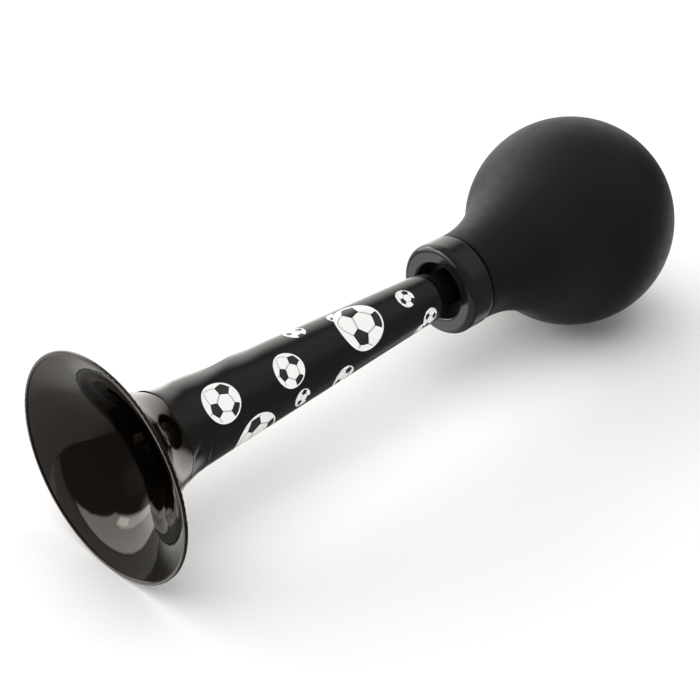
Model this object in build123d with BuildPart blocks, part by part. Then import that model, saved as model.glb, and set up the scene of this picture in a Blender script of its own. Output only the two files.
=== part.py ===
"""Squeeze-bulb horn, lying on its side: a flared trumpet with a printed sleeve,
a collar that clamps a hollow rubber bulb, and the reed that sounds inside it.

Frame: +Y along the horn from the bell's mouth to the bulb, +Z up, and the
origin on the ground below the middle. Bell and bulb have the same radius, so
the horn lies level. Every round piece is turned from a half section drawn as
(station, radius): station is the distance from the mouth along the axis.
"""

from build123d import *
from math import hypot, radians, sqrt
import os

os.makedirs("parts", exist_ok=True)

# ---------------------------------------------------------------- driving sizes
bell_radius = 36.0
horn_length = 240.0

# trumpet: inside and outside, the flare is one arc that leaves the tapered tube
# tangentially at the throat; the wall thins from the tube to the rim
wall = 1.6
rim_thickness = 1.2
rim_width = 1.2
rim_rise = 0.5
rim_step = 0.8
rim_round = 0.4
throat_station = 30.0
throat_bore_radius = 11.45
tail_station = 132.4
tail_bore_radius = 6.15
tail_round = 0.6
socket_radius = 6.2
socket_length = 21.5

# printed film shrunk on the tube
film = 0.25
film_front = 18.0
film_back_gap = 1.6

# collar that clamps the neck of the bulb
collar_front = 137.3
collar_back = 147.0
collar_radius = 15.6
collar_front_round = 2.3
collar_back_round = 0.6
collar_hole_radius = 9.7
collar_hole_round = 0.9
collar_web = 5.5
collar_bore_radius = 12.85

# bulb
bulb_radius = bell_radius
bulb_wall = 2.5
neck_radius = 15.2
neck_round = 0.8
neck_blend_start = 150.0
neck_bore_radius = 10.05
bore_blend_start = 158.0
neck_lip_radius = 12.8
neck_lip_gap = 0.1

# reed holder: spigot, stop flange, stem, clamp flange and barbed barrel
spigot_radius = 6.15
spigot_length = 20.5
spigot_chamfer = 0.7
stop_radius = 7.3
stop_length = 1.6
stem_radius = 6.0
clamp_radius = 12.75
clamp_length = 1.4
barrel_radius = 10.0
barrel_end = 157.5
barrel_chamfer = 1.2
air_bore_radius = 4.0
reed_socket_radius = 5.02

# reed
reed_tube_radius = 5.0
reed_tube_start = 147.5
reed_tube_end = 182.0
reed_tube_end_round = 2.0
channel_radius = 3.4
channel_end = 179.0
flat_start = 158.0
flat_height = 1.5
tongue_width = 7.0
tongue_thickness = 0.2
tongue_start = 158.6
tongue_free_start = 163.0
tongue_free_length = 17.3
tongue_curl = 5
clip_start = 158.4
clip_length = 4.6
clip_radius = 6.9
clip_round = 0.5
touch = 0.02

# ------------------------------------------------------------------ the horn's axis
axis_height = bell_radius
mouth = (0, -horn_length / 2, axis_height)
section_plane = Plane(origin=mouth, x_dir=(0, 1, 0), z_dir=(1, 0, 0))
horn_axis = Axis(mouth, (0, 1, 0))

# -------------------------------------------------- the trumpet's surfaces, by skin
# Along the tapered tube, skin is how far a surface lies outside the bore: 0 is the
# bore itself, wall the trumpet's outside and wall + film the outside of the sleeve.
taper = (throat_bore_radius - tail_bore_radius) / (tail_station - throat_station)
taper_length = hypot(1, taper)
normal = (taper / taper_length, 1 / taper_length)


def throat_point(skin):
    """Where the flare meets the tapered tube, skin outside its bore."""
    return (throat_station + normal[0] * skin, throat_bore_radius + normal[1] * skin)


def tube_point(station, skin):
    """Point of the tapered tube at a station, skin outside its bore."""
    bore = throat_bore_radius - taper * (station - throat_station)
    return (station, bore + skin * taper_length)


# The flare's outside leaves the throat along the tube and passes through the back
# of the rim, which fixes the radius and centre of its arc.
rim_inner_radius = bell_radius - rim_width
rim_back = (rim_thickness, bell_radius - rim_step)
outer_throat = throat_point(wall)
chord = (rim_back[0] - outer_throat[0], rim_back[1] - outer_throat[1])
flare_radius = (chord[0] ** 2 + chord[1] ** 2) / (
    2 * (chord[0] * normal[0] + chord[1] * normal[1])
)
flare_centre = (
    outer_throat[0] + normal[0] * flare_radius,
    outer_throat[1] + normal[1] * flare_radius,
)


def flare_point(station, lift):
    """Point at a station, lift outside the flare's outer surface."""
    arc_radius = flare_radius - lift
    rise = sqrt(arc_radius**2 - (station - flare_centre[0]) ** 2)
    return (station, flare_centre[1] - rise)


def neck_blend_end(neck, start, ball):
    """End of the arc that leaves a neck at start and meets the ball tangentially."""
    centre = horn_length - bulb_radius
    reach = centre - start
    radius = (reach**2 + neck**2 - ball**2) / (2 * (ball - neck))
    share = ball / (ball + radius)
    return (centre - reach * share, (neck + radius) * share)


# ------------------------------------------------------------------------- trumpet
socket_start = tail_station - socket_length

with BuildPart() as trumpet:
    with BuildSketch(section_plane):
        with BuildLine():
            TangentArc(throat_point(0), (rim_rise, rim_inner_radius), tangent=(-1, taper))
            FilletPolyline(
                (rim_rise, rim_inner_radius),
                (0, rim_inner_radius),
                (0, bell_radius),
                (rim_thickness, bell_radius),
                rim_back,
                radius=rim_round,
            )
            TangentArc(outer_throat, rim_back, tangent=(-1, taper))
            FilletPolyline(
                outer_throat,
                tube_point(tail_station, wall),
                (tail_station, socket_radius),
                radius=tail_round,
            )
            Polyline(
                (tail_station, socket_radius),
                (socket_start, socket_radius),
                tube_point(socket_start, 0),
                throat_point(0),
            )
        make_face()
    revolve(axis=horn_axis)
trumpet.part.label = "trumpet"
export_step(trumpet.part, "parts/trumpet.step")

# -------------------------------------------------------------------- print_sleeve
film_back = tail_station - film_back_gap

with BuildPart() as print_sleeve:
    with BuildSketch(section_plane):
        with BuildLine():
            TangentArc(outer_throat, flare_point(film_front, 0), tangent=(-1, taper))
            Line(flare_point(film_front, 0), flare_point(film_front, film))
            TangentArc(
                throat_point(wall + film),
                flare_point(film_front, film),
                tangent=(-1, taper),
            )
            Polyline(
                throat_point(wall + film),
                tube_point(film_back, wall + film),
                tube_point(film_back, wall),
                outer_throat,
            )
        make_face()
    revolve(axis=horn_axis)
print_sleeve.part.label = "print_sleeve"
export_step(print_sleeve.part, "parts/print_sleeve.step")

# --------------------------------------------------------------------- reed_holder
spigot_start = tail_station - spigot_length
stop_back = tail_station + stop_length
clamp_start = collar_front + collar_web
clamp_back = clamp_start + clamp_length

with BuildPart() as reed_holder:
    with BuildSketch(section_plane):
        Polygon(
            (spigot_start, air_bore_radius),
            (spigot_start, spigot_radius - spigot_chamfer),
            (spigot_start + spigot_chamfer, spigot_radius),
            (tail_station + touch, spigot_radius),
            (tail_station + touch, stop_radius),
            (stop_back, stop_radius),
            (stop_back, stem_radius),
            (clamp_start + touch, stem_radius),
            (clamp_start + touch, clamp_radius),
            (clamp_back, clamp_radius),
            (clamp_back, barrel_radius),
            (barrel_end - barrel_chamfer, barrel_radius),
            (barrel_end, barrel_radius - barrel_chamfer),
            (barrel_end, reed_socket_radius),
            (reed_tube_start - touch, reed_socket_radius),
            (reed_tube_start - touch, air_bore_radius),
            align=None,
        )
    revolve(axis=horn_axis)
reed_holder.part.label = "reed_holder"
export_step(reed_holder.part, "parts/reed_holder.step")

# -------------------------------------------------------------------------- collar
with BuildPart() as collar:
    with BuildSketch(section_plane):
        Polygon(
            (collar_front, collar_hole_radius),
            (collar_front, collar_radius),
            (collar_back, collar_radius),
            (collar_back, collar_bore_radius),
            (clamp_start, collar_bore_radius),
            (clamp_start, collar_hole_radius),
            align=None,
        )
    revolve(axis=horn_axis)
    front_edges = collar.edges().filter_by(GeomType.CIRCLE).group_by(horn_axis)[0]
    hole_edge, rim_edge = front_edges.sort_by(SortBy.RADIUS)
    fillet(rim_edge, radius=collar_front_round)
    fillet(hole_edge, radius=collar_hole_round)
    back_edges = collar.edges().filter_by(GeomType.CIRCLE).group_by(horn_axis)[-1]
    fillet(back_edges.sort_by(SortBy.RADIUS)[-1], radius=collar_back_round)
collar.part.label = "collar"
export_step(collar.part, "parts/collar.step")

# ---------------------------------------------------------------------------- bulb
bulb_centre = horn_length - bulb_radius
cavity_radius = bulb_radius - bulb_wall
lip_front = clamp_back + neck_lip_gap
shoulder = collar_back + neck_lip_gap
outer_meet = neck_blend_end(neck_radius, neck_blend_start, bulb_radius)
inner_meet = neck_blend_end(neck_bore_radius, bore_blend_start, cavity_radius)

with BuildPart() as bulb:
    with BuildSketch(section_plane):
        with BuildLine():
            Polyline(
                (bore_blend_start, neck_bore_radius),
                (lip_front, neck_bore_radius),
                (lip_front, neck_lip_radius),
                (shoulder, neck_lip_radius),
            )
            FilletPolyline(
                (shoulder, neck_lip_radius),
                (shoulder, neck_radius),
                (neck_blend_start, neck_radius),
                radius=neck_round,
            )
            TangentArc((neck_blend_start, neck_radius), outer_meet, tangent=(1, 0))
            ThreePointArc(outer_meet, (bulb_centre, bulb_radius), (horn_length, 0))
            Line((horn_length, 0), (horn_length - bulb_wall, 0))
            ThreePointArc(
                (horn_length - bulb_wall, 0), (bulb_centre, cavity_radius), inner_meet
            )
            TangentArc((bore_blend_start, neck_bore_radius), inner_meet, tangent=(1, 0))
        make_face()
    revolve(axis=horn_axis)
bulb.part.label = "bulb"
export_step(bulb.part, "parts/bulb.step")

# ----------------------------------------------------------------------- reed_tube
# A closed-ended tube, cut to a flat along its top so that its channel lies open
# under the tongue.
with BuildPart() as reed_tube:
    with BuildSketch(section_plane):
        Polygon(
            (reed_tube_start, channel_radius),
            (reed_tube_start, reed_tube_radius),
            (reed_tube_end, reed_tube_radius),
            (reed_tube_end, 0),
            (channel_end, 0),
            (channel_end, channel_radius),
            align=None,
        )
    revolve(axis=horn_axis)
    end_edge = reed_tube.edges().filter_by(GeomType.CIRCLE).sort_by(horn_axis)[-1]
    fillet(end_edge, radius=reed_tube_end_round)
    with BuildSketch(section_plane):
        with Locations((flat_start, flat_height)):
            Rectangle(
                reed_tube_end - flat_start,
                reed_tube_radius,
                align=(Align.MIN, Align.MIN),
            )
    extrude(amount=reed_tube_radius, both=True, mode=Mode.SUBTRACT)
reed_tube.part.label = "reed_tube"
export_step(reed_tube.part, "parts/reed_tube.step")

# --------------------------------------------------------------------- reed_tongue
# A springy strip: clamped flat at its root, then curling gently off the flat.
tongue_bottom = flat_height + touch
tongue_top = tongue_bottom + tongue_thickness
curl_radius = tongue_free_length / radians(tongue_curl)

with BuildPart() as reed_tongue:
    with BuildSketch(section_plane):
        with BuildLine():
            top_curl = JernArc(
                start=(tongue_free_start, tongue_top),
                tangent=(1, 0),
                radius=curl_radius - tongue_thickness,
                arc_size=tongue_curl,
            )
            bottom_curl = JernArc(
                start=(tongue_free_start, tongue_bottom),
                tangent=(1, 0),
                radius=curl_radius,
                arc_size=tongue_curl,
            )
            Line(top_curl @ 1, bottom_curl @ 1)
            Polyline(
                top_curl @ 0,
                (tongue_start, tongue_top),
                (tongue_start, tongue_bottom),
                bottom_curl @ 0,
            )
        make_face()
    extrude(amount=tongue_width / 2, both=True)
reed_tongue.part.label = "reed_tongue"
export_step(reed_tongue.part, "parts/reed_tongue.step")

# ----------------------------------------------------------------------- reed_clip
# A ring with a D-shaped hole, pushed over the reed tube to pinch the tongue's root.
clip_plane = Plane(
    origin=(0, mouth[1] + clip_start, axis_height), x_dir=(-1, 0, 0), z_dir=(0, 1, 0)
)
clip_flat = tongue_top + touch

with BuildPart() as reed_clip:
    with BuildSketch(clip_plane):
        Circle(clip_radius)
    extrude(amount=clip_length)
    fillet(reed_clip.edges().filter_by(GeomType.CIRCLE), radius=clip_round)
    with BuildSketch(clip_plane):
        Circle(reed_socket_radius)
        with Locations((0, clip_flat)):
            Rectangle(
                2 * clip_radius,
                clip_radius,
                align=(Align.CENTER, Align.MIN),
                mode=Mode.SUBTRACT,
            )
    extrude(amount=clip_length, mode=Mode.SUBTRACT)
reed_clip.part.label = "reed_clip"
export_step(reed_clip.part, "parts/reed_clip.step")
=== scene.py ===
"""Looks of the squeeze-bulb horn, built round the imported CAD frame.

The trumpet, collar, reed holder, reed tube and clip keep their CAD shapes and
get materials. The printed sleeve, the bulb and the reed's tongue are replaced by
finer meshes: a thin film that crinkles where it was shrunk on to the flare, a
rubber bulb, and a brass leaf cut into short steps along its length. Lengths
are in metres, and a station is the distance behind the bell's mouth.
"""

from math import atan2, cos, exp, hypot, pi, radians, sin, sqrt, tan
from random import Random

import bmesh
import bpy
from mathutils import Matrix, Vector
from mathutils.bvhtree import BVHTree


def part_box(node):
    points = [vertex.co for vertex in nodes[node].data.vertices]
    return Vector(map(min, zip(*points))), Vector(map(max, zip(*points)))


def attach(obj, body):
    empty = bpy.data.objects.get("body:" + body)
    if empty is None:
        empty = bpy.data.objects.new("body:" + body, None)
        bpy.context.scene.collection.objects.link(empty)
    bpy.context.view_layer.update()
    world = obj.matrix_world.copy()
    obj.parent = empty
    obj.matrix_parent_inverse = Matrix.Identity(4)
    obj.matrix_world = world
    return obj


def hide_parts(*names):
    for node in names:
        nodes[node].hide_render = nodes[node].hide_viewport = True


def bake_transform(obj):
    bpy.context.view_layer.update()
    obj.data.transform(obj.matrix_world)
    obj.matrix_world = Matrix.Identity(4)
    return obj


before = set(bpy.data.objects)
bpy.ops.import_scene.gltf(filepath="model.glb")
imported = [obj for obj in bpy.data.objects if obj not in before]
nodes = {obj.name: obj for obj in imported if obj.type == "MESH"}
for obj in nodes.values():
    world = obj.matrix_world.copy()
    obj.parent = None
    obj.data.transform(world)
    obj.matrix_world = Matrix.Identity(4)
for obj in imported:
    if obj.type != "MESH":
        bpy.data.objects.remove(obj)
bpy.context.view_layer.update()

MM = 0.001

# ------------------------------------------------------------ places in the frame
trumpet_low, trumpet_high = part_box("trumpet")
bulb_low, bulb_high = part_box("bulb")
sleeve_low, sleeve_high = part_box("print_sleeve")
collar_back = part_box("collar")[1][1]

MOUTH_Y = trumpet_low[1]
AXIS_Z = (trumpet_low[2] + trumpet_high[2]) / 2
BELL_RADIUS = (trumpet_high[2] - trumpet_low[2]) / 2
HORN_LENGTH = bulb_high[1] - MOUTH_Y
THROAT = 30 * MM


def station_y(station):
    """The y coordinate of a station."""
    return MOUTH_Y + station


def around(station, radius, angle):
    """Point on a circle about the horn's axis; angle runs from the top to +X."""
    return Vector((radius * sin(angle), station_y(station), AXIS_Z + radius * cos(angle)))


def surface_tree(node):
    """A CAD node's surface, ready for rays."""
    mesh = nodes[node].data
    return BVHTree.FromPolygons(
        [v.co.copy() for v in mesh.vertices],
        [tuple(p.vertices) for p in mesh.polygons],
    )


def outer_radius(tree, station):
    """Radius of a CAD node's outside at a station, found by a ray from the side."""
    start = Vector((2 * BELL_RADIUS, station_y(station), AXIS_Z))
    hit = tree.ray_cast(start, Vector((-1, 0, 0)))[0]
    return hit.x


trumpet_tree = surface_tree("trumpet")


# --------------------------------------------------------------------- mesh making
SHARP_FROM = radians(50)


def ring_mesh(name, rows, capped=False):
    """Mesh of quads between rows of points, each row a ring round the axis.

    The first and last rows are capped, or else the last row joins the first.
    """
    count = len(rows[0])
    points = [p for row in rows for p in row]
    faces = []
    spans = len(rows) - 1 if capped else len(rows)
    for i in range(spans):
        a = i * count
        b = (i + 1) % len(rows) * count
        for j in range(count):
            k = (j + 1) % count
            faces.append((a + j, a + k, b + k, b + j))
    if capped:
        faces.append(tuple(reversed(range(count))))
        faces.append(tuple(range(len(points) - count, len(points))))
    mesh = bpy.data.meshes.new(name)
    mesh.from_pydata(points, [], faces)
    mesh.validate()
    mesh.shade_smooth()
    mesh.set_sharp_from_angle(angle=SHARP_FROM)
    piece = bpy.data.objects.new(name, mesh)
    bpy.context.scene.collection.objects.link(piece)
    return piece


# --------------------------------------------------------------- the printed sleeve
FILM = 0.08 * MM  # thickness
LIFT = 0.11 * MM  # gap under the film away from its folds
SLEEVE_AROUND = 384
SLEEVE_BACK = sleeve_high[1] - MOUTH_Y
FRONT_EDGE = sleeve_low[1] - MOUTH_Y

throat_radius = outer_radius(trumpet_tree, THROAT)
tail_radius = outer_radius(trumpet_tree, SLEEVE_BACK)
taper = (throat_radius - tail_radius) / (SLEEVE_BACK - THROAT)

NEAR_RIM = 6 * MM


def flare_circle():
    """Radius and centre of the flare's outside, as station and radius.

    It is one arc, tangent to the tube at the throat, through a point near the rim.
    """
    slope = hypot(1, taper)
    normal = (taper / slope, 1 / slope)
    chord = (NEAR_RIM - THROAT, outer_radius(trumpet_tree, NEAR_RIM) - throat_radius)
    rise = chord[0] * normal[0] + chord[1] * normal[1]
    arc = (chord[0] ** 2 + chord[1] ** 2) / (2 * rise)
    return arc, (THROAT + normal[0] * arc, throat_radius + normal[1] * arc)


flare_arc, flare_centre = flare_circle()


def trumpet_radius(station):
    """Outside radius of the trumpet at a station of its flare or tube."""
    if station >= THROAT:
        return throat_radius - taper * (station - THROAT)
    rise = sqrt(flare_arc**2 - (station - flare_centre[0]) ** 2)
    return flare_centre[1] - rise


# How far the film's front edge drew back as it shrank, in mm, and the waves in it:
# how many go round, height in mm and shift in radians.
DRAWN_BACK = 2.6
EDGE_WAVES = ((1, 0.7, 2.0), (3, 0.38, 2.9), (5, 0.26, 1.2), (9, 0.16, 0.4))


def front_edge(angle):
    """Station of the film's cut front edge, which wanders."""
    wander = DRAWN_BACK
    for waves, height, shift in EDGE_WAVES:
        wander += height * sin(waves * angle + shift)
    return FRONT_EDGE + wander * MM


# The folds: how many, and between which values a fold's spread (degrees), length (mm),
# height (mm) and slant (degrees in 10 mm) are drawn.
FOLDS = 17
FOLD_SPREADS = (5, 13)
FOLD_LENGTHS = (5, 12)
FOLD_HEIGHTS = (-0.2, 0.45)
FOLD_SLANTS = (-30, 30)


def make_folds():
    """Soft folds left where the film shrank on to the flare.

    Each has an angle, a spread, a length, a height and a slant, in radians and metres.
    """
    chance = Random(11)
    folds = []
    for i in range(FOLDS):
        folds.append(
            (
                2 * pi * (i + 0.8 * chance.random()) / FOLDS,
                radians(chance.uniform(*FOLD_SPREADS)),
                chance.uniform(*FOLD_LENGTHS) * MM,
                chance.uniform(*FOLD_HEIGHTS) * MM,
                radians(chance.uniform(*FOLD_SLANTS)) / (10 * MM),
            )
        )
    return folds


folds = make_folds()

# The film's other waves. Bare angles in the functions below are shifts in radians.
FOLDS_START = 1.2 * MM
EDGE_LIFT = 0.3  # share of LIFT left at the very edge
CURL = 0.3 * MM
CURL_REACH = 1.1 * MM
CREASE = 7.6 * MM
CREASE_WIDTH = 0.5 * MM
CREASE_HEIGHT = 0.09 * MM
SLACK = 0.02 * MM
TOP_WAVE = 0.28 * MM
TOP_WAVE_LENGTH = 19 * MM
TOP_WAVES_MIDDLE = 24 * MM
TOP_WAVES_REACH = 20 * MM


def near_top(angle, shift):
    """Falls from 1 at the top of the horn to 0 at its bottom; shift turns it about the axis."""
    return 0.5 + 0.5 * cos(angle + shift)


def edge_curl(behind, angle):
    """Height to which the front edge curls up, mostly on top."""
    return CURL * near_top(angle, 0.7) ** 8 * exp(-behind / CURL_REACH)


def crease(behind, angle):
    """Height of the fine crease round the right side."""
    across = exp(-(((behind - CREASE) / CREASE_WIDTH) ** 2))
    return CREASE_HEIGHT * across * max(0.0, sin(angle - 0.15)) ** 2


def slack(behind, angle):
    """Slow waves of the film: faint all round, stronger on top."""
    height = SLACK * (1 + sin(3 * angle + 0.045 * behind / MM))
    along = exp(-(((behind - TOP_WAVES_MIDDLE) / TOP_WAVES_REACH) ** 2))
    wave = 1 + sin(2 * pi * behind / TOP_WAVE_LENGTH + 2 * angle - 1.0)
    return height + TOP_WAVE * near_top(angle, 0.4) ** 3 * along * wave


def crinkle(station, angle):
    """Height of the film above the trumpet at a station and angle."""
    behind = station - front_edge(angle)
    grown = 1 - exp(-behind / FOLDS_START)
    height = LIFT * (EDGE_LIFT + (1 - EDGE_LIFT) * grown) + edge_curl(behind, angle)
    for middle, spread, length, tall, slant in folds:
        off = (angle - middle - slant * behind + pi) % (2 * pi) - pi
        height += tall * grown * exp(-((off / spread) ** 2) - (behind / length) ** 2)
    height += crease(behind, angle)
    return max(0.0, height) + slack(behind, angle) * grown


def sleeve_stations():
    """Shares of the film's length from its front edge, closer together at the front."""
    shares = []
    fine_rows, long_rows = 56, 44
    fine_length = 0.19
    for i in range(fine_rows):
        shares.append(fine_length * i / fine_rows)
    for i in range(long_rows + 1):
        shares.append(fine_length + (1 - fine_length) * i / long_rows)
    return shares


def make_sleeve():
    """The film as one closed mesh: rows outside from front to back, then rows inside."""
    outside, inside = [], []
    for share in sleeve_stations():
        for rows, film in ((outside, FILM), (inside, 0.0)):
            row = []
            for j in range(SLEEVE_AROUND):
                angle = 2 * pi * j / SLEEVE_AROUND
                start = front_edge(angle)
                station = start + share * (SLEEVE_BACK - start)
                radius = trumpet_radius(station) + film + crinkle(station, angle)
                row.append(around(station, radius, angle))
            rows.append(row)
    return ring_mesh("sleeve_film", outside + inside[::-1])


# ------------------------------------------------------------------------- the bulb
BULB_AROUND = 160
OUTSIDE_STEPS = 24
INSIDE_STEPS = 12
ROUND_STEPS = 6

# The bulb's profile, as in its CAD node.
BULB_RADIUS = (bulb_high[2] - bulb_low[2]) / 2
BULB_CENTRE = HORN_LENGTH - BULB_RADIUS
NECK_RADIUS = 15.2 * MM
NECK_START = bulb_low[1] - MOUTH_Y
NECK_LIP = 12.8 * MM
NECK_BORE = 10.05 * MM
BLEND_START = 150 * MM
BORE_BLEND = 158 * MM
BULB_WALL = 2.5 * MM

# The groove behind the collar, down to the lip that the collar clamps.
GROOVE_START = collar_back - MOUTH_Y + 0.1 * MM
SHOULDER = GROOVE_START + 0.9 * MM
NECK_ROUND = 0.6 * MM
TIP = 0.02 * MM  # radius of the flat at each pole


def blend_profile(neck, start, ball, steps):
    """Arc from a neck, tangent to it and to the ball, then the ball to its pole."""
    reach = BULB_CENTRE - start
    fillet = (reach**2 + neck**2 - ball**2) / (2 * (ball - neck))
    turn = atan2(reach, neck + fillet)
    profile = []
    for i in range(steps):
        a = turn * i / steps
        profile.append((start + fillet * sin(a), neck + fillet * (1 - cos(a))))
    first = pi / 2 + turn
    ball_steps = 3 * steps
    for i in range(ball_steps):
        a = first * (1 - i / ball_steps)
        profile.append((BULB_CENTRE + ball * cos(a), ball * sin(a)))
    return profile


def make_bulb():
    """The hollow bulb, turned from one profile: inside to the lip, then outside to the pole."""
    outside = [
        (GROOVE_START, NECK_LIP),
        (SHOULDER, NECK_LIP),
        (SHOULDER, NECK_RADIUS - NECK_ROUND),
    ]
    for i in range(1, ROUND_STEPS):
        a = radians(90) * i / ROUND_STEPS
        outside.append(
            (
                SHOULDER + NECK_ROUND * (1 - cos(a)),
                NECK_RADIUS - NECK_ROUND * (1 - sin(a)),
            )
        )
    outside.append((SHOULDER + NECK_ROUND, NECK_RADIUS))
    outside += blend_profile(NECK_RADIUS, BLEND_START, BULB_RADIUS, OUTSIDE_STEPS)
    inside = [(NECK_START, NECK_LIP), (NECK_START, NECK_BORE)]
    inside += blend_profile(NECK_BORE, BORE_BLEND, BULB_RADIUS - BULB_WALL, INSIDE_STEPS)
    outside.append((HORN_LENGTH, TIP))
    inside.append((HORN_LENGTH - BULB_WALL, TIP))
    rows = []
    for station, radius in inside[::-1] + outside:
        row = []
        for j in range(BULB_AROUND):
            row.append(around(station, radius, 2 * pi * j / BULB_AROUND))
        rows.append(row)
    return ring_mesh("bulb_skin", rows, capped=True)


# ------------------------------------------------------------------- the reed's tongue
TONGUE_STEPS = 24


def make_tongue():
    """The brass leaf in its CAD shape, cut into short steps along its length."""
    low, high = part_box("reed_tongue")
    leaf = bmesh.new()
    leaf.from_mesh(nodes["reed_tongue"].data)
    for i in range(1, TONGUE_STEPS):
        y = low[1] + (high[1] - low[1]) * i / TONGUE_STEPS
        everything = leaf.verts[:] + leaf.edges[:] + leaf.faces[:]
        bmesh.ops.bisect_plane(leaf, geom=everything, plane_co=(0, y, 0), plane_no=(0, 1, 0))
    mesh = bpy.data.meshes.new("tongue_leaf")
    leaf.to_mesh(mesh)
    leaf.free()
    piece = bpy.data.objects.new("tongue_leaf", mesh)
    bpy.context.scene.collection.objects.link(piece)
    return piece


# ------------------------------------------------------------------- node materials
class Graph:
    """A node tree, with short calls for the nodes used here."""

    def __init__(self, tree):
        self.tree = tree
        self.tree.nodes.clear()

    def node(self, kind, **settings):
        made = self.tree.nodes.new(kind)
        for key, value in settings.items():
            setattr(made, key, value)
        return made

    def feed(self, socket, value):
        if isinstance(value, bpy.types.NodeSocket):
            self.tree.links.new(value, socket)
        else:
            socket.default_value = value

    def math(self, operation, *values):
        made = self.node("ShaderNodeMath", operation=operation)
        for socket, value in zip(made.inputs, values):
            self.feed(socket, value)
        return made.outputs[0]

    def vector(self, operation, *values):
        made = self.node("ShaderNodeVectorMath", operation=operation)
        for socket, value in zip(made.inputs, values):
            self.feed(socket, value)
        name = "Value" if operation in ("DOT_PRODUCT", "LENGTH") else "Vector"
        return made.outputs[name]

    def noise(self, size, detail=2.0, rough=0.5, stretch=(1, 1, 1)):
        """Noise about 0.5 whose blotches are about size metres across."""
        scaled = self.vector("MULTIPLY", self.place, stretch)
        made = self.node("ShaderNodeTexNoise")
        self.feed(made.inputs["Vector"], scaled)
        made.inputs["Scale"].default_value = 1 / size
        made.inputs["Detail"].default_value = detail
        made.inputs["Roughness"].default_value = rough
        return made.outputs["Fac"]

    def between(self, fac, low, high, start=0.0, end=1.0, curve="LINEAR"):
        """A number that goes from low to high as fac goes from start to end."""
        made = self.node("ShaderNodeMapRange", interpolation_type=curve)
        for name, value in (
            ("Value", fac),
            ("From Min", start),
            ("From Max", end),
            ("To Min", low),
            ("To Max", high),
        ):
            self.feed(made.inputs[name], value)
        return made.outputs[0]

    def mix(self, fac, low, high):
        """A colour between two colours."""
        made = self.node("ShaderNodeMix", data_type="RGBA")
        self.feed(made.inputs[0], fac)
        self.feed(made.inputs[6], low)
        self.feed(made.inputs[7], high)
        return made.outputs[2]


class MaterialGraph(Graph):
    """The node tree of a material with one principled shader."""

    def __init__(self, name):
        self.material = bpy.data.materials.new(name)
        self.material.use_nodes = True
        super().__init__(self.material.node_tree)
        self.shader = self.node("ShaderNodeBsdfPrincipled")
        self.output = self.node("ShaderNodeOutputMaterial")
        self.tree.links.new(self.shader.outputs[0], self.output.inputs["Surface"])
        self.place = self.node("ShaderNodeTexCoord").outputs["Object"]

    def set(self, name, value):
        self.feed(self.shader.inputs[name], value)

    def bump(self, height, depth, strength=1.0):
        """Raises the surface by up to depth metres where height is 1."""
        made = self.node("ShaderNodeBump")
        made.inputs["Strength"].default_value = strength
        made.inputs["Distance"].default_value = depth
        self.feed(made.inputs["Height"], height)
        previous = self.shader.inputs["Normal"]
        if previous.is_linked:
            self.tree.links.new(previous.links[0].from_socket, made.inputs["Normal"])
        self.tree.links.new(made.outputs[0], previous)


def grey(value, warmth=0.0):
    """A grey, or a slightly warm grey, as linear colour."""
    return (value * (1 + warmth), value, value * (1 - warmth), 1)


def moulded_gloss(name, dark, light, rough_low, rough_high, tint=(1, 1, 1, 1)):
    """Injection-moulded black: clear gloss with flow marks, orange peel and fine scuffs."""
    g = MaterialGraph(name)
    flow = g.noise(9 * MM, 3, 0.55, (1, 0.35, 1))
    g.set("Base Color", g.mix(flow, dark, light))
    smear = g.noise(5 * MM, 4, 0.6)
    g.set("Roughness", g.between(smear, rough_low, rough_high, 0.3, 0.75))
    g.set("IOR", 1.49)
    g.set("Specular Tint", tint)
    g.bump(g.noise(1.3 * MM, 1, 0.4), 0.0015 * MM)
    return g.material


def rubber():
    """Dip-moulded black rubber: dull, slightly blotchy, with a fine grain."""
    g = MaterialGraph("bulb_rubber")
    blotch = g.noise(14 * MM, 3, 0.5)
    g.set("Base Color", g.mix(blotch, grey(0.0045), grey(0.0075)))
    bloom = g.noise(3.5 * MM, 4, 0.6)
    g.set("Roughness", g.between(bloom, 0.52, 0.62, 0.3, 0.7))
    g.set("IOR", 1.52)
    g.set("Specular IOR Level", 0.3)
    g.bump(g.noise(0.22 * MM, 2, 0.6), 0.004 * MM)
    g.bump(g.noise(6 * MM, 1, 0.4), 0.02 * MM)
    return g.material


# Footballs on the sleeve: station (mm), angle from the top to +X (degrees),
# diameter (mm), turn of the picture (degrees) and whether it has a white rim.
BALLS = (
    (37.4, 43.0, 12.7, 0, 1),
    (64.1, 47.5, 11.1, 16, 1),
    (96.6, 33.6, 17.2, -36, 1),
    (47.7, 120.0, 15.9, -53, 1),
    (76.0, -12.0, 7.0, 40, 0),
    (66.6, 101.5, 6.3, -20, 0),
    (85.2, 115.5, 8.8, 0, 0),
    (117.8, 28.0, 6.6, 0, 0),
    (125.0, 96.0, 6.4, 60, 0),
    (91.5, -3.5, 5.4, 10, 0),
    (121.3, 122.0, 5.6, 20, 0),
)
# The drawing of a football: a globe a little larger than its outline and off its middle.
# A point between three of an icosahedron's corners has a weight for each. It is in a
# pentagon where one weight is above PENTAGON_EDGE, and on a seam where one is below SEAM.
PICTURE_SIZE = 1.12
PICTURE_SHIFT = (0.165, 0.105)
PENTAGON_TURN = radians(50)
PENTAGONS_WITHIN = 0.8
RIM_START = 0.93
PENTAGON_EDGE = 2 / 3
OUTLINE = 0.045
SEAM = 0.035
# Angles from the middle of an icosahedron's face to its near and far corners.
NEAR_CORNERS = radians(37.377)
FAR_CORNERS = radians(79.188)
NEXT_CORNERS_COSINE = 1 / sqrt(5)


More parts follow.
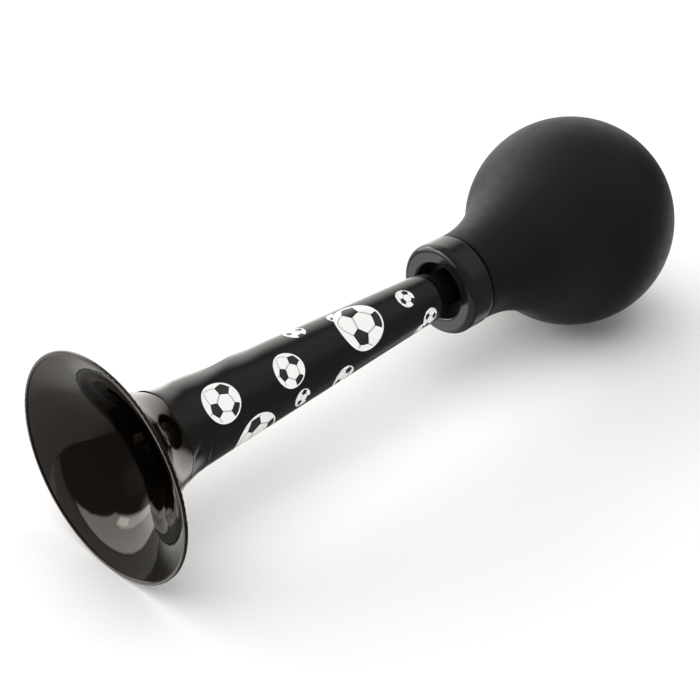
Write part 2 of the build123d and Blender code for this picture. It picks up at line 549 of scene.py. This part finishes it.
def icosahedron_axes():
    """Six axes through an icosahedron's corners, with a face's middle up the z axis."""
    axes = []
    for polar, turn in ((NEAR_CORNERS, 0), (FAR_CORNERS, pi / 3)):
        for k in range(3):
            a = PENTAGON_TURN + turn + k * 2 * pi / 3
            axes.append((sin(polar) * cos(a), sin(polar) * sin(a), cos(polar)))
    return axes


def picture_place(g):
    """Where each shading point lies in the picture of the football it falls on."""
    split = g.node("ShaderNodeSeparateXYZ")
    g.feed(split.inputs[0], g.place)
    x, y, z = split.outputs
    station = g.math("SUBTRACT", y, MOUTH_Y)
    angle = g.math("ARCTAN2", x, g.math("SUBTRACT", z, AXIS_Z))
    across, along, ink, rim = 0.0, 0.0, 0.0, 0.0
    for at, turn_to, diameter, spin, has_rim in BALLS:
        size = diameter / 2 * MM
        reach = trumpet_radius(at * MM) / size
        s = g.math("DIVIDE", g.math("SUBTRACT", station, at * MM), size)
        wrapped = g.math("WRAP", g.math("SUBTRACT", angle, radians(turn_to)), pi / 2, -pi / 2)
        t = g.math("MULTIPLY", wrapped, reach)
        c, n = cos(radians(spin)), sin(radians(spin))
        u = g.math("ADD", g.math("MULTIPLY", s, c), g.math("MULTIPLY", t, n))
        v = g.math("SUBTRACT", g.math("MULTIPLY", t, c), g.math("MULTIPLY", s, n))
        far = g.math("ADD", g.math("MULTIPLY", u, u), g.math("MULTIPLY", v, v))
        here = g.math("MULTIPLY", g.math("LESS_THAN", far, 1.0), g.math("SUBTRACT", 1.0, ink))
        across = g.math("MULTIPLY_ADD", u, here, across)
        along = g.math("MULTIPLY_ADD", v, here, along)
        ink = g.math("ADD", ink, here)
        rim = g.math("MULTIPLY_ADD", here, float(has_rim), rim)
    return across, along, ink, rim


def football_print(g):
    """Ink mask, and the darkness of pentagons and seams, of the football pictures."""
    u, v, ink, rim = picture_place(g)
    far = g.math("SQRT", g.math("ADD", g.math("MULTIPLY", u, u), g.math("MULTIPLY", v, v)))
    x = g.math("DIVIDE", g.math("SUBTRACT", u, PICTURE_SHIFT[0]), PICTURE_SIZE)
    y = g.math("DIVIDE", g.math("SUBTRACT", v, PICTURE_SHIFT[1]), PICTURE_SIZE)
    flat = g.math("ADD", g.math("MULTIPLY", x, x), g.math("MULTIPLY", y, y))
    globe = g.node("ShaderNodeCombineXYZ")
    g.feed(globe.inputs[0], x)
    g.feed(globe.inputs[1], y)
    g.feed(globe.inputs[2], g.math("SQRT", g.math("MAXIMUM", g.math("SUBTRACT", 1.0, flat), 0.0)))
    nearest, second, third = 0.0, 0.0, 0.0
    for axis in icosahedron_axes():
        d = g.math("ABSOLUTE", g.vector("DOT_PRODUCT", globe.outputs[0], axis))
        beaten = g.math("MINIMUM", nearest, d)
        nearest = g.math("MAXIMUM", nearest, d)
        beaten_again = g.math("MINIMUM", second, beaten)
        second = g.math("MAXIMUM", second, beaten)
        third = g.math("MAXIMUM", third, beaten_again)
    corner = NEXT_CORNERS_COSINE
    total = g.math("ADD", g.math("ADD", nearest, second), third)

    def share(d):
        """Weight of one of the three nearest corners at a point of the face between them."""
        own = g.math("MULTIPLY", d, 1 + 2 * corner)
        top = g.math("SUBTRACT", own, g.math("MULTIPLY", total, corner))
        return g.math("DIVIDE", top, g.math("MULTIPLY", total, 1 - corner))

    strongest = share(nearest)
    weakest = share(third)
    in_rim = g.math("MULTIPLY", rim, g.math("GREATER_THAN", far, RIM_START))
    pattern = g.math("SUBTRACT", 1.0, in_rim)
    pentagon = g.math("MULTIPLY", g.math("GREATER_THAN", strongest, PENTAGON_EDGE), pattern)
    middle = g.math("GREATER_THAN", strongest, PENTAGON_EDGE + OUTLINE)
    seam = g.math("MULTIPLY", g.math("LESS_THAN", weakest, SEAM), pattern)
    pentagon = g.math("MULTIPLY", pentagon, g.math("LESS_THAN", flat, PENTAGONS_WITHIN))
    return ink, pentagon, middle, seam


def printed_film():
    """Black shrink film with white football pictures under its gloss."""
    g = MaterialGraph("printed_film")
    ink, pentagon, middle, seam = football_print(g)
    blotch = g.noise(7 * MM, 3, 0.5, (1, 0.4, 1))
    black = g.mix(blotch, grey(0.005, 0.08), grey(0.009, 0.1))
    white = g.mix(g.noise(0.5 * MM, 2, 0.6), grey(0.78, 0.01), grey(0.88, 0.01))
    ball = g.mix(seam, white, grey(0.45))
    ball = g.mix(pentagon, ball, grey(0.006))
    inside = g.math("MULTIPLY", pentagon, middle)
    ball = g.mix(inside, ball, grey(0.022, 0.03))
    g.set("Base Color", g.mix(ink, black, ball))
    smear = g.noise(4 * MM, 4, 0.6)
    g.set("Roughness", g.between(smear, 0.10, 0.2, 0.3, 0.75))
    g.set("IOR", 1.5)
    g.set("Specular IOR Level", 0.4)
    g.bump(g.noise(1.6 * MM, 2, 0.5, (1, 0.3, 1)), 0.006 * MM)
    g.bump(g.noise(7 * MM, 1, 0.5, (1, 0.25, 1)), 0.05 * MM)
    return g.material


def brass():
    """Rolled brass with fine streaks along the leaf."""
    g = MaterialGraph("reed_brass")
    streak = g.noise(0.4 * MM, 3, 0.6, (1, 0.05, 1))
    g.set("Base Color", g.mix(streak, (0.72, 0.5, 0.2, 1), (0.85, 0.64, 0.3, 1)))
    g.set("Metallic", 1.0)
    g.set("Roughness", g.between(streak, 0.24, 0.42, 0.3, 0.7))
    g.bump(streak, 0.002 * MM)
    return g.material


def ivory_plastic():
    """Ivory moulded plastic of the reed tube, slightly translucent."""
    g = MaterialGraph("reed_plastic")
    blotch = g.noise(3 * MM, 3, 0.5)
    g.set("Base Color", g.mix(blotch, grey(0.72, 0.03), grey(0.8, 0.03)))
    g.set("Roughness", g.between(blotch, 0.32, 0.45, 0.3, 0.7))
    g.set("Subsurface Weight", 0.08)
    g.set("Subsurface Scale", 1 * MM)
    g.bump(g.noise(0.3 * MM, 2, 0.5), 0.003 * MM)
    return g.material


def dull_moulded():
    """Deep black, finely eroded moulded plastic of the reed holder."""
    g = MaterialGraph("holder_black")
    blotch = g.noise(3 * MM, 3, 0.5)
    g.set("Base Color", g.mix(blotch, grey(0.0012), grey(0.0025)))
    g.set("Roughness", g.between(blotch, 0.42, 0.55, 0.3, 0.7))
    g.set("Specular IOR Level", 0.2)
    g.bump(g.noise(0.12 * MM, 2, 0.7), 0.004 * MM)
    return g.material


def floor_paper():
    """White paper sweep under the horn."""
    g = MaterialGraph("floor_paper")
    fibre = g.noise(1.2 * MM, 3, 0.6)
    g.set("Base Color", g.mix(fibre, grey(0.86), grey(0.9)))
    g.set("Roughness", 0.9)
    g.bump(fibre, 0.01 * MM)
    return g.material


def dress(node, material):
    """Puts a material on every slot of a CAD node."""
    piece = nodes[node]
    if not piece.material_slots:
        piece.data.materials.append(material)
    for one in piece.material_slots:
        one.material = material


# ------------------------------------------------------------------------ the pieces
sleeve = make_sleeve()
sleeve.data.materials.append(printed_film())
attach(sleeve, "horn")
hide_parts("print_sleeve")

bulb = make_bulb()
bulb.data.materials.append(rubber())
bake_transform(bulb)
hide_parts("bulb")

WARM_BLACKS = ((0.0017, 0.0011, 0.0006, 1), (0.0032, 0.0021, 0.0011, 1))
dress("trumpet", moulded_gloss("gloss_black", *WARM_BLACKS, 0.03, 0.07, (1, 0.93, 0.87, 1)))
dress("collar", moulded_gloss("collar_black", grey(0.007), grey(0.011), 0.08, 0.14))
holder_black = dull_moulded()
dress("reed_holder", holder_black)
dress("reed_clip", holder_black)
dress("reed_tube", ivory_plastic())

tongue = make_tongue()
tongue.data.materials.clear()
tongue.data.materials.append(brass())
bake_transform(tongue)
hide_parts("reed_tongue")

# ------------------------------------------------------------------- floor and light
FLOOR_HALF = 3.0


def make_floor():
    """A square sheet of paper under the horn."""
    mesh = bpy.data.meshes.new("floor")
    h = FLOOR_HALF
    mesh.from_pydata([(-h, -h, 0), (h, -h, 0), (h, h, 0), (-h, h, 0)], [], [(0, 1, 2, 3)])
    floor = bpy.data.objects.new("floor", mesh)
    bpy.context.scene.collection.objects.link(floor)
    mesh.materials.append(floor_paper())
    return floor


def direction(azimuth, elevation):
    """Unit vector towards an azimuth (from -Y towards +X) and elevation in degrees."""
    a, e = radians(azimuth), radians(elevation)
    return Vector((sin(a) * cos(e), -cos(a) * cos(e), sin(e)))


def softbox(name, target, azimuth, elevation, distance, width, height, strength):
    """A soft rectangular light that faces a target point."""
    light = bpy.data.lights.new(name, "AREA")
    light.shape = "RECTANGLE"
    light.size = width
    light.size_y = height
    light.energy = strength * pi * width * height
    lamp = bpy.data.objects.new(name, light)
    lamp.visible_camera = False
    bpy.context.scene.collection.objects.link(lamp)
    away = direction(azimuth, elevation)
    lamp.location = target + away * distance
    lamp.rotation_euler = away.to_track_quat("Z", "Y").to_euler()
    return lamp


floor = make_floor()
floor.visible_glossy = False


# What the gloss reflects: a dim room, brighter in these directions. Azimuth and
# elevation of each glow's middle, the angles where it starts and is full, and its strength.
ROOM = 0.14
GLOWS = (
    (315, -33, 15, 6, 1.3),
    (302, -50, 26, 6, 0.55),
    (250, -33, 38, 12, 0.9),
    (266, 24, 36, 10, 2.0),
    (222, 6, 38, 8, 1.6),
    (180, -30, 24, 8, 1.6),
    (155, 45, 38, 8, 0.25),
    (0, 90, 50, 20, 0.15),
)
# The light wall on the horn's left: azimuth and elevation of each panel's middle,
# half its width and height, the width of its soft edge, and its strength.
PANELS = (
    (311.5, 12.5, 40, 17.5, 3, 2.8),
    (301, 21.5, 24, 7.5, 4, 5.2),
    (321, 22, 8, 6.5, 4, 8.2),
)
# The wall and the dim sill below it end at slanted lines: each passes through two
# directions and is soft over an angle on both sides.
WALL_END = ((349, -5), (336.5, 22))
SILL = (322, -13, 48, 9, 2, 0.4)
SILL_END = ((8, -18), (347, -5))
END_SOFTNESS = 1.5
# The table top in front of the mouth, and the elevations between which its far edge fades.
TABLE = (10, -42, 65, 25, 0.4)
TABLE_EDGE = (-18.5, -16.5)
# A round black card behind the bulb, which the flare mirrors, given as the glows are.
BLACK_CARD = (182, 1, 18, 15, 1.0)
WARM_LIGHT = (1.0, 0.975, 0.945, 1)


def glow(g, towards, azimuth, elevation, start_angle, full_angle, strength):
    """Soft round brightening about a direction."""
    near = g.vector("DOT_PRODUCT", towards, direction(azimuth, elevation))
    ends = cos(radians(start_angle)), cos(radians(full_angle))
    return g.between(near, 0.0, strength, *ends, curve="SMOOTHSTEP")


def panel(g, towards, azimuth, elevation, half_width, half_height, edge, strength):
    """Soft-edged rectangle of light in a direction."""
    ahead = direction(azimuth, elevation)
    right = direction(azimuth + 90, 0)
    depth = g.math("MAXIMUM", g.vector("DOT_PRODUCT", towards, ahead), 0.01)
    inside = strength
    for side, half in ((right, half_width), (right.cross(ahead), half_height)):
        off = g.math("DIVIDE", g.vector("DOT_PRODUCT", towards, side), depth)
        ends = tan(radians(half)), tan(radians(half - edge))
        fade = g.between(g.math("ABSOLUTE", off), 0.0, 1.0, *ends, curve="SMOOTHSTEP")
        inside = g.math("MULTIPLY", fade, inside)
    return inside


def left_of(g, towards, lower, upper):
    """1 to the left of the line through two directions, 0 to its right."""
    side = direction(*lower).cross(direction(*upper)).normalized()
    half = sin(radians(END_SOFTNESS))
    off = g.vector("DOT_PRODUCT", towards, side)
    return g.between(off, 0.0, 1.0, -half, half, curve="SMOOTHSTEP")


def table(g, towards):
    """The pale table top in front, below its far edge."""
    split = g.node("ShaderNodeSeparateXYZ")
    g.feed(split.inputs[0], towards)
    low, high = sin(radians(TABLE_EDGE[0])), sin(radians(TABLE_EDGE[1]))
    below = g.between(split.outputs[2], 1.0, 0.0, low, high, curve="SMOOTHSTEP")
    return g.math("MULTIPLY", below, glow(g, towards, *TABLE))


def make_world():
    """White to the eye; a dim room with soft lights to everything else."""
    world = bpy.data.worlds.new("studio")
    world.use_nodes = True
    g = Graph(world.node_tree)
    background = g.node("ShaderNodeBackground")
    output = g.node("ShaderNodeOutputWorld")
    g.tree.links.new(background.outputs[0], output.inputs["Surface"])
    towards = g.node("ShaderNodeTexCoord").outputs["Generated"]
    total = g.math("ADD", table(g, towards), ROOM)
    for one in GLOWS:
        total = g.math("ADD", glow(g, towards, *one), total)
    wall = 0.0
    for one in PANELS:
        wall = g.math("MAXIMUM", panel(g, towards, *one), wall)
    wall = g.math("MULTIPLY", wall, left_of(g, towards, *WALL_END))
    sill = g.math("MULTIPLY", panel(g, towards, *SILL), left_of(g, towards, *SILL_END))
    total = g.math("ADD", g.math("MAXIMUM", wall, sill), total)
    total = g.math("MULTIPLY", total, g.math("SUBTRACT", 1.0, glow(g, towards, *BLACK_CARD)))
    to_camera = g.node("ShaderNodeLightPath").outputs["Is Camera Ray"]
    g.feed(background.inputs["Strength"], g.between(to_camera, total, 1.0))
    g.feed(background.inputs["Color"], g.mix(to_camera, WARM_LIGHT, (1, 1, 1, 1)))
    bpy.context.scene.world = world


make_world()

# Fills that light the white print and the floor but show in no reflection: name,
# azimuth, elevation, distance, width, height and strength.
FILLS = (
    ("front_fill", 68, 8, 2.7, 2.7, 1.8, 3.2),
    ("top_fill", 20, 80, 2.6, 3.2, 3.2, 1.9),
)
MIDDLE = Vector((0, 0, AXIS_Z))
for name, *placing in FILLS:
    fill = softbox(name, MIDDLE, *placing)
    fill.visible_glossy = False

# ---------------------------------------------------------------------------- camera
# Fitted to the outlines in the photograph.
CAMERA_AZIMUTH = 45.35
CAMERA_ELEVATION = 33.11
CAMERA_DISTANCE = 0.5572
CAMERA_LENS = 91.71
AIM = Vector((0, -22.59 * MM, 31.55 * MM))


def make_camera():
    """The camera at the photograph's angle."""
    data = bpy.data.cameras.new("camera")
    data.lens = CAMERA_LENS
    data.sensor_width = 36.0
    camera = bpy.data.objects.new("camera", data)
    bpy.context.scene.collection.objects.link(camera)
    away = direction(CAMERA_AZIMUTH, CAMERA_ELEVATION)
    camera.location = AIM + away * CAMERA_DISTANCE
    camera.rotation_euler = away.to_track_quat("Z", "Y").to_euler()
    bpy.context.scene.camera = camera


make_camera()
bpy.context.scene.view_settings.view_transform = "Standard"
